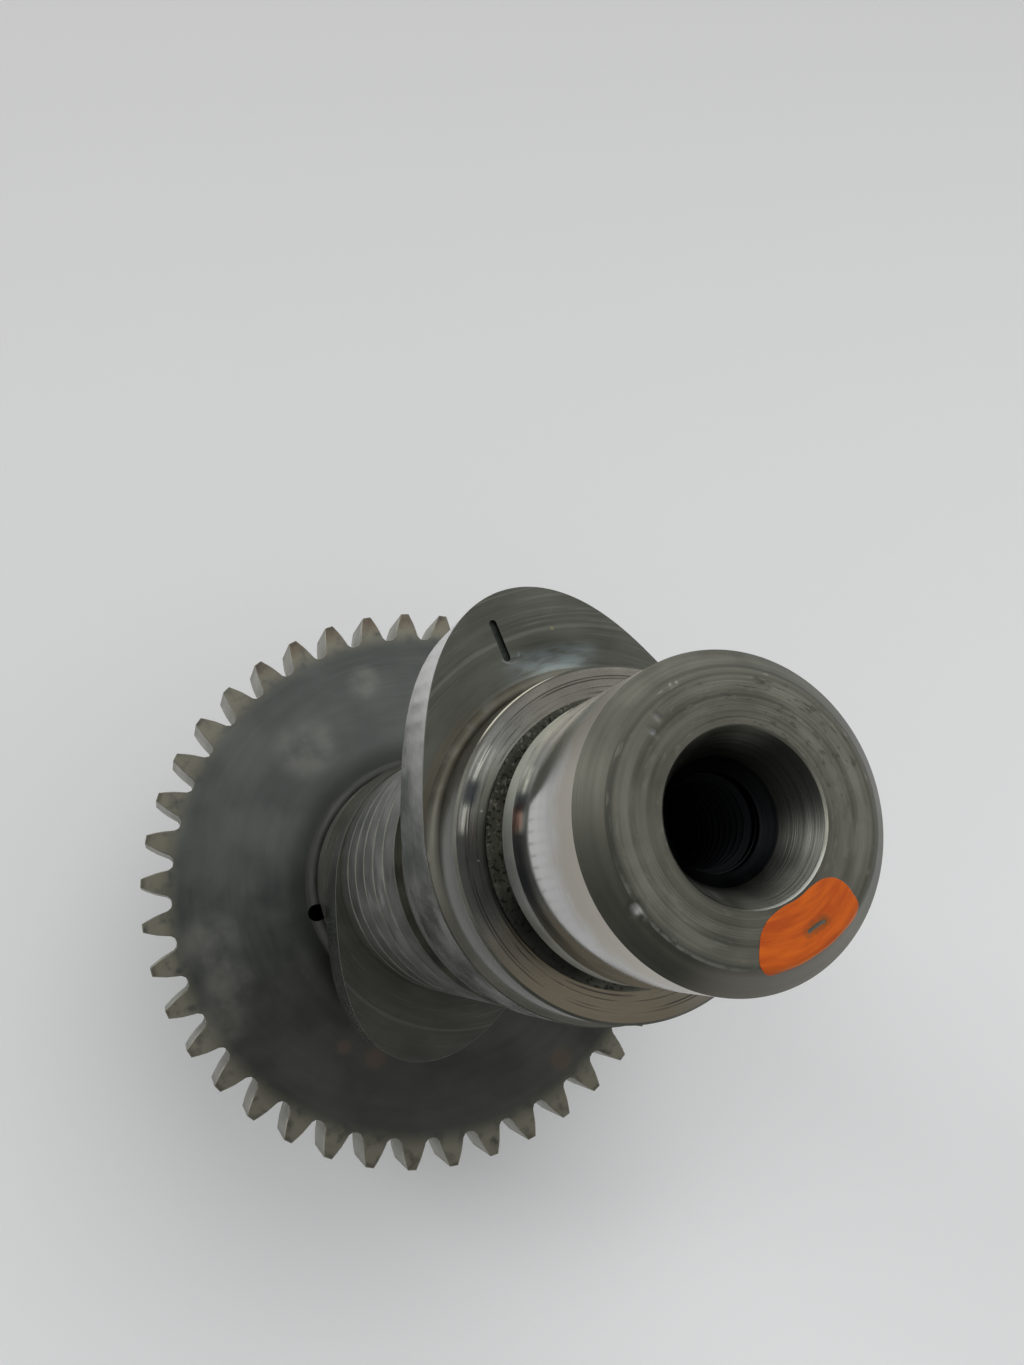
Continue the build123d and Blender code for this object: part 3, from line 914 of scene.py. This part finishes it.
def journal_finish():
    """Journal ground to a mirror, brown at its end, with painted reflections low on one side."""
    steel = turned("ground_journal", (0.53, 0.53, 0.52), (0.64, 0.64, 0.63), (0.05, 0.09),
                   runs=1.5, line_depth=0.0008, mottle=0.2, anisotropic=0.2)
    wavy = steel.math("ADD", steel.height, steel.times(steel.noise(0.35, shift=6.0), 5.0))
    near_chamfer = steel.ramp(wavy, Z_NOSE - 5.2, Z_NOSE - 1.8)
    steel.tint((0.46, 0.415, 0.345), near_chamfer, 0.8)
    low = steel.times(
        steel.fall(steel.height, Z_RELIEF + 4.8, Z_RELIEF + 6.4),
        steel.ramp(steel.height, Z_RELIEF - 1, Z_RELIEF),
    )
    # painted reflections: pale, dark and red-brown patches low on one side
    steel.side((0.95, 0.97, 0.86), 130, 30, low, 0.9)
    steel.side((0.085, 0.105, 0.115), 190, 44, low, 0.9)
    steel.side((0.55, 0.23, 0.16), 154, 7, low, 0.9)
    scuffed = steel.ramp(steel.height, Z_NOSE - 10.5, Z_NOSE - 4.0)
    steel.set("Roughness", steel.between(scuffed, 0.06, 0.36))
    return steel


def relief_finish():
    """Narrow satin band beside the journal, with a painted highlight on one side."""
    steel = turned("satin_relief", (0.24, 0.245, 0.225), (0.36, 0.365, 0.335), (0.5, 0.6),
                   runs=0.7, line_share=0.7, line_depth=0.006)
    # painted highlight on one side
    steel.side((0.68, 0.695, 0.61), 115, 48, 0.9)
    steel.tint((0.2, 0.2, 0.19), steel.line(steel.height, Z_NOSE_JOURNAL, 0.35), 0.3)
    return steel


def undercut_finish():
    """Tool-rough undercut, dark, with grit, pits and painted shade on two sides."""
    steel = turned("rough_undercut", (0.11, 0.11, 0.09), (0.24, 0.24, 0.205), (0.45, 0.6),
                   lines=2.5, runs=4.0, line_depth=0.03)
    # painted shade on one side
    steel.side((0.13, 0.13, 0.11), 112, 40, 0.7)
    grit = steel.ramp(steel.noise(3.4, 3.0, shift=8.0), 0.56, 0.66)
    steel.side((0.5, 0.5, 0.44), 130, 60, grit, 0.6)
    pits = steel.ramp(steel.noise(2.2, 2.0, shift=3.0), 0.55, 0.66)
    steel.tint((0.03, 0.03, 0.026), pits, 0.8)
    # painted shade on another side
    steel.side((0.045, 0.045, 0.04), 207, 30, 0.8)
    return steel


def collar_face_finish():
    """Thrust face, ground bright, with thin dark rings, and painted reflections that make its sides
    tan, pale, dark and barred bright.
    """
    steel = turned("ground_collar_face", (0.3, 0.3, 0.28), (0.5, 0.5, 0.46), (0.17, 0.26),
                   lines=2.2, runs=1.2, line_share=0.75, line_depth=0.004, mottle=0.25,
                   anisotropic=0.6)
    # painted reflections: tan, pale and dark sides of the face
    steel.side((0.42, 0.35, 0.245), 235, 60, 0.85)
    steel.side((0.52, 0.48, 0.4), 80, 45, 0.7)
    steel.side((0.15, 0.15, 0.138), 170, 24, 0.85)
    steel.side((0.15, 0.15, 0.135), 158, 32, steel.fall(steel.radius, 14.2, 14.9), 0.7)
    # painted highlights: two bright bars near the rim, with a dark painted reflection between them
    streak = steel.ramp(steel.streaks(2.6, 1.0, 2.0, shift=12.0), 0.35, 0.5)
    outer = steel.line(steel.radius, 15.4, 0.9)
    steel.side((1.0, 1.0, 0.9), 134, 9, outer, streak)
    steel.side((1.0, 1.0, 0.9), 152, 7, outer, streak)
    steel.side((0.09, 0.1, 0.115), 144, 6, outer, 0.85)
    for radius, width in ((15.15, 0.1), (15.42, 0.08), (13.9, 0.12), (14.4, 0.08)):
        ring = steel.line(steel.radius, radius, width)
        broken = steel.ramp(steel.streaks(0.5, 2.5, 2.0, shift=radius), 0.35, 0.6)
        steel.tint((0.06, 0.06, 0.055), ring, broken, 0.75)
    # painted shade: darker outer rim on one side
    steel.side((0.16, 0.16, 0.15), 140, 45, steel.ramp(steel.radius, 16.0, 16.3), 0.6)
    steel.tint((0.75, 0.75, 0.72), steel.specks(1.9, 0.07))
    return steel


def root_finish():
    """Fillet at the collar's foot, stained brown, and darker on one side as painted shade."""
    steel = turned("olive_root_fillet", (0.09, 0.088, 0.072), (0.15, 0.147, 0.122), (0.5, 0.6))
    stain_and_shade = steel.ramp(steel.noise(0.5, shift=3.0), 0.3, 0.6)
    # painted shade: the brown stain darkened further on one side
    steel.side((0.075, 0.066, 0.048), 120, 35, stain_and_shade, 0.8)
    return steel


def lobe_face_finish():
    """Side face of a lobe: dark, with long faint tool arcs, local stains, and painted shade on lobe
    2.
    """
    steel = turned("lobe_face", (0.095, 0.098, 0.08), (0.15, 0.153, 0.13), (0.38, 0.46),
                   lines=1.0, runs=2.0, line_share=0.45, line_depth=0.012, mottle=0.15,
                   anisotropic=0.4)
    scratches = steel.ramp(steel.streaks(5.0, 2.5, 2.0, shift=5.0), 0.62, 0.7)
    steel.tint((0.28, 0.28, 0.25), scratches, 0.3)
    steel.tint((0.26, 0.26, 0.23), steel.line(steel.radius, 22.1, 0.25), 0.35)
    on_lobe_1 = steel.ramp(steel.height, Z_COLLAR - 1, Z_COLLAR - 0.8)
    dish = steel.line(steel.radius, DISH_RADIUS, DISH_HALF_WIDTH)
    ground = steel.ramp(steel.streaks(1.6, 9.0, 3.0, shift=2.0), 0.25, 0.65)
    steel.side((0.23, 0.27, 0.27), DISH_ANGLE, 18, dish, ground, on_lobe_1, 0.8)
    steel.tint((0.25, 0.235, 0.15), steel.spot(*RUST_SPECK, Z_COLLAR, 0.28))
    burr = steel.line(steel.distance(*BURR_MIDDLE, Z_COLLAR), BURR_RADIUS, 0.2)
    inner = steel.fall(steel.radius, BURR_MIDDLE[0] - 0.65, BURR_MIDDLE[0] - 0.05)
    steel.tint((0.25, 0.265, 0.25), burr, inner, on_lobe_1, 0.8)
    foot = steel.line(steel.radius, COLLAR_RADIUS + 1.4, 0.9)
    steel.side((0.16, 0.135, 0.095), 145, 38, foot, on_lobe_1, 0.6)
    # painted shade: lobe 2's faces darker
    steel.tint((0.06, 0.058, 0.045), steel.fall(steel.height, Z_BODY + 1, Z_BODY + 2), 0.35)
    return steel


def cam_finish():
    """Ground cam surface, bright, with lines along its width, rubbed bands, and chatter marks that
    carry a painted reflection on one side.
    """
    steel = turned("ground_cam", (0.46, 0.46, 0.45), (0.64, 0.64, 0.62), (0.16, 0.24),
                   lines=2.0, runs=5.0, line_share=0.4, line_depth=0.004, mottle=0.25,
                   anisotropic=0.3)
    slanted = steel.noise(0.35, 2.0, stretch=(1.0, 1.0, 2.2), shift=4.0)
    steel.tint((0.42, 0.43, 0.44), steel.ramp(slanted, 0.45, 0.6), 0.5)
    # painted reflection: chatter bands made bright on one side
    around_cam = steel.math("ADD", steel.y, steel.times(steel.height, 0.35))
    chatter = steel.ramp(steel.rings(around_cam, 1.1, 1.0), 0.4, 0.6)
    steel.side((0.78, 0.79, 0.78), 150, 50, chatter, 0.3)
    return steel


def body_finish():
    """Turned body in satin grey, with tool rings, and painted shade on one side and towards lobe 2.
    """
    steel = turned("turned_body", (0.36, 0.36, 0.345), (0.52, 0.52, 0.5), (0.32, 0.42),
                   lines=0.8, runs=0.5, line_share=0.7, line_depth=0.006)
    # painted shade: darker on two sides and towards lobe 2
    shaded = steel.ramp(steel.height, Z_GROOVE - 8, Z_GROOVE)
    steel.side((0.12, 0.12, 0.11), 200, 70, shaded, 0.75)
    steel.side((0.12, 0.12, 0.11), 230, 45, 0.85)
    steel.tint((0.15, 0.15, 0.13), steel.fall(steel.height, Z_BODY, Z_BODY + 16), 0.5)
    return steel


def hub_finish():
    """Hub between lobe 2 and the gear, dull, with painted light on one side."""
    steel = turned("dull_hub_painted_light", (0.13, 0.13, 0.108), (0.22, 0.22, 0.188), (0.36, 0.46), mottle=0.2)
    # painted light on one side
    steel.side((0.6, 0.6, 0.53), 145, 70, 0.85)
    return steel


def web_finish():
    """Gear web and tooth ends: blue-grey scale, rubbed pale in places, tan at the teeth, with
    painted shade round the hub's foot.
    """
    steel = turned("gear_web", (0.061, 0.066, 0.062), (0.118, 0.125, 0.117), (0.42, 0.55),
                   lines=0.8, runs=3.0, line_share=0.25, line_depth=0.012, mottle=0.1,
                   anisotropic=0.25)
    rubbed = steel.ramp(steel.noise(0.22, 4.0, shift=9.0), 0.2, 0.75)
    steel.side((0.2, 0.21, 0.2), 105, 75, 0.35)
    for radius, angle, size in RUBBED_SPOTS:
        spot = steel.spot(radius, angle, Z_GEAR_FRONT, size)
        steel.tint((0.27, 0.27, 0.235), spot, rubbed, 0.6)
    steel.side((0.078, 0.072, 0.058), 250, 85, 0.45)
    # painted shade: darker web round the hub's foot, darkest on one side
    foot = steel.fall(steel.radius, HUB_RADIUS + 1.8, HUB_RADIUS + 6)
    steel.tint((0.035, 0.038, 0.034), foot, 0.75)
    steel.side((0.012, 0.013, 0.012), 235, 60, foot, 0.8)
    for radius, angle, size in RUST_SPOTS:
        steel.tint((0.16, 0.115, 0.09), steel.spot(radius, angle, Z_GEAR_FRONT, size), 0.5)
    rim = steel.ramp(steel.radius, RIM_RADIUS, PITCH_RADIUS - 0.2)
    steel.tint((0.29, 0.275, 0.21), rim, steel.ramp(steel.noise(0.5), 0.2, 0.55), 0.85)
    outer = steel.ramp(steel.radius, TIP_RADIUS - 3.5, TIP_RADIUS - 1)
    steel.side((0.16, 0.115, 0.085), 88, 32, outer, 0.6)
    tips = steel.ramp(steel.radius, TIP_RADIUS - 1.1, TIP_RADIUS - 0.2)
    worn = steel.ramp(steel.noise(0.3, shift=5.0), 0.4, 0.55)
    steel.tint((0.06, 0.055, 0.048), tips, worn, 0.5)
    return steel


def teeth_finish():
    """Tooth flanks: olive brown, with painted shade in the spaces, rubbed bright where they mesh.
    """
    steel = turned("gear_teeth", (0.13, 0.125, 0.095), (0.24, 0.23, 0.18), (0.34, 0.46),
                   lines=1.5, runs=20.0, anisotropic=0.2)
    steel.tint((0.36, 0.35, 0.31), steel.line(steel.radius, PITCH_RADIUS + 0.3, 1.6), 0.5)
    # painted shade in the spaces between the teeth
    low = steel.fall(steel.radius, ROOT_RADIUS, ROOT_RADIUS + 1)
    steel.tint((0.06, 0.06, 0.05), low, 0.7)
    return steel


def cone_finish():
    """Cone at the mouth of the nose hole, with coarse tool rings, painted light and shade on its
    sides, and painted shade deeper in the hole.
    """
    steel = turned("mouth_cone", (0.09, 0.09, 0.08), (0.22, 0.22, 0.195), (0.38, 0.5),
                   lines=2.4, runs=0.4, line_share=0.7, line_depth=0.02)
    # painted shade on one side, painted light on two others
    steel.side((0.014, 0.014, 0.014), 14, 52, 0.88)
    steel.side((0.3, 0.3, 0.26), 258, 50, 0.7)
    steel.side((0.55, 0.55, 0.48), 222, 18, 0.7)
    # painted shade deeper in the hole
    deep = steel.fall(steel.height, Z_NOSE - 4.4, Z_NOSE - 1.2)
    steel.tint((0.035, 0.035, 0.032), deep, 0.85)
    return steel


def mouth_edge_finish():
    """Broken edge round the nose hole, with a painted highlight on one side."""
    steel = turned("mouth_edge", (0.14, 0.14, 0.118), (0.24, 0.24, 0.2), (0.38, 0.48))
    # painted highlight on one side
    steel.side((0.42, 0.43, 0.4), 285, 40, 0.8)
    return steel


def collar_edge_finish():
    """Broken edge of the thrust collar, dark, with a painted highlight on one side."""
    steel = turned("collar_edge", (0.07, 0.07, 0.058), (0.13, 0.13, 0.11), (0.35, 0.45))
    # painted highlight along the rim on one side
    rim = steel.line(steel.radius, COLLAR_RADIUS - 0.04, 0.1)
    steel.side((0.7, 0.67, 0.54), 110, 20, rim, 0.9)
    return steel


def make_finishes():
    """A material for each zone of the steel skin."""
    finishes = {
        "nose_face": nose_face_finish(),
        "chamfer": chamfer_finish(),
        "journal": journal_finish(),
        "relief": relief_finish(),
        "undercut": undercut_finish(),
        "collar_face": collar_face_finish(),
        "collar_side": turned("satin_collar_side", (0.15, 0.15, 0.138), (0.215, 0.215, 0.2),
                              (0.3, 0.38), lines=4.0, runs=1.0, line_share=0.7),
        "root_fillet": root_finish(),
        "lobe_face": lobe_face_finish(),
        "cam": cam_finish(),
        "body": body_finish(),
        "web": web_finish(),
        "teeth": teeth_finish(),
        "cone": cone_finish(),
        "mouth_edge": mouth_edge_finish(),
        "collar_edge": collar_edge_finish(),
        # painted shade: the dark fillet at the hub's foot
        "hub_foot": turned("hub_foot", (0.045, 0.047, 0.042), (0.085, 0.087, 0.078), (0.6, 0.7)),
        # painted shade: dark edge breaks, which dull their highlights
        "cam_edge": turned("cam_edge", (0.07, 0.07, 0.062), (0.13, 0.13, 0.118), (0.38, 0.48)),
        # painted shade: dark grooves
        "groove": turned("dark_groove", (0.11, 0.11, 0.092), (0.2, 0.197, 0.165), (0.4, 0.5)),
        "hub": hub_finish(),
        # painted shade: near-black bore, pin hole and thread
        "bore": turned("bore_painted_shade", (0.006, 0.007, 0.008), (0.016, 0.017, 0.018), (0.45, 0.6),
                       runs=0.5),
        # painted shade: dark timing groove
        "mark": turned("timing_mark", (0.045, 0.05, 0.045), (0.085, 0.093, 0.083), (0.45, 0.55)),
        "scratch": turned("face_scratch", (0.1, 0.105, 0.095), (0.2, 0.21, 0.195), (0.4, 0.5)),
    }
    return {zone: finish.material for zone, finish in finishes.items()}


def paint_finish():
    """Orange paint, brushed on along the nose face, thin and brown at one streak."""
    paint = Finish("orange_paint", metallic=0.0)
    strokes = paint.streaks(1.8, 2.5, 4.0)
    level = paint.ramp(strokes, 0.3, 0.7)
    paint.colour = paint.mix(level, (0.47, 0.07, 0.002), (0.66, 0.124, 0.004))
    for radius, angle in PAINT_BARE_STREAK:
        paint.tint((0.2, 0.07, 0.012), paint.spot(radius, angle, Z_NOSE, 0.55), 0.5)
    outer = paint.line(paint.radius, FACE_EDGE + 0.1, 0.14)
    paint.side((0.75, 0.3, 0.12), 290, 40, outer, 0.5)
    paint.set("Roughness", 0.5)
    paint.set("Specular IOR Level", 0.3)
    paint.bump(strokes, 0.03)
    return paint


# ==== studio ===========================================================================
def make_floor():
    """Pale sheet that fills every view, with painted shade: a little darker beyond the shaft, then
    pale again.
    """
    half = FLOOR_HALF_WIDTH
    corners = ((-half, -half), (half, -half), (half, half), (-half, half))
    mesh = bmesh.new()
    mesh.faces.new([mesh.verts.new((x, y, -FLOOR_GAP)) for x, y in corners])
    floor = mesh_object("floor", mesh)
    sheet = Finish("pale_floor", metallic=0.0)
    # painted shade: the sheet darker along Y, then pale again
    darker = sheet.times(
        sheet.ramp(sheet.y, *FLOOR_FADE, "LINEAR"), sheet.fall(sheet.y, *FLOOR_RETURN, "LINEAR")
    )
    sheet.set("Base Color", sheet.mix(darker, FLOOR_COLOUR, FAR_FLOOR_COLOUR))
    sheet.set("Roughness", FLOOR_ROUGHNESS)
    floor.data.materials.append(sheet.material)


def make_world():
    """Studio walls: pale at the horizon, darker on one side and overhead."""
    world = bpy.data.worlds.new("studio")
    bpy.context.scene.world = world
    world.use_nodes = True
    nodes = Nodes(world.node_tree)
    direction = nodes.add("TexCoord", {}).outputs["Generated"]
    side = nodes.vector("DOT_PRODUCT", direction, (*on_shaft(1, DARK_WALL_ANGLE), 0), "Value")
    wall = nodes.mix(nodes.ramp(side, *DARK_WALL_FADE), WALL_COLOUR, DARK_WALL_COLOUR)
    climb = nodes.ramp(nodes.add("SeparateXYZ", {0: direction}).outputs["Z"], *CEILING_FADE)
    background = nodes.tree.nodes["Background"]
    nodes.fill(background.inputs["Color"], nodes.mix(climb, wall, CEILING_COLOUR))


def make_lamp(name, azimuth, elevation, size, radiance):
    """Square soft lamp that shines at the middle of the shaft."""
    data = bpy.data.lights.new(name, "AREA")
    data.shape = "SQUARE"
    data.size = size
    data.energy = radiance * pi * size**2
    lamp = in_scene(name, data)
    target = Vector((0, 0, LAMP_TARGET_HEIGHT))
    flat = on_shaft(LAMP_DISTANCE * cos(radians(elevation)), azimuth)
    lamp.location = target + Vector((*flat, LAMP_DISTANCE * sin(radians(elevation))))
    lamp.rotation_euler = (lamp.location - target).to_track_quat("Z", "Y").to_euler()


def make_camera():
    """Camera above the nose, a little to one side of the shaft axis."""
    data = bpy.data.cameras.new("camera")
    data.lens = LENS
    data.sensor_width = SENSOR
    data.clip_start = 0.01
    camera = in_scene("camera", data)
    back = Vector(CAMERA_BACK).normalized()
    right = Vector(CAMERA_UP).cross(back).normalized()
    turn = Matrix((right, back.cross(right), back)).transposed().to_4x4()
    camera.matrix_world = Matrix.Translation(Vector(CAMERA_PLACE) * MM) @ turn
    bpy.context.scene.camera = camera


finishes = make_finishes()
make_skin(finishes)
make_thread(finishes["bore"])
make_paint(paint_finish().material)
make_floor()
make_world()
make_lamp("window", azimuth=60, elevation=45, size=0.8, radiance=1.0)
make_lamp("side_window", azimuth=134, elevation=31, size=0.3, radiance=5.0)
make_camera()
bpy.context.scene.view_settings.view_transform = "Standard"
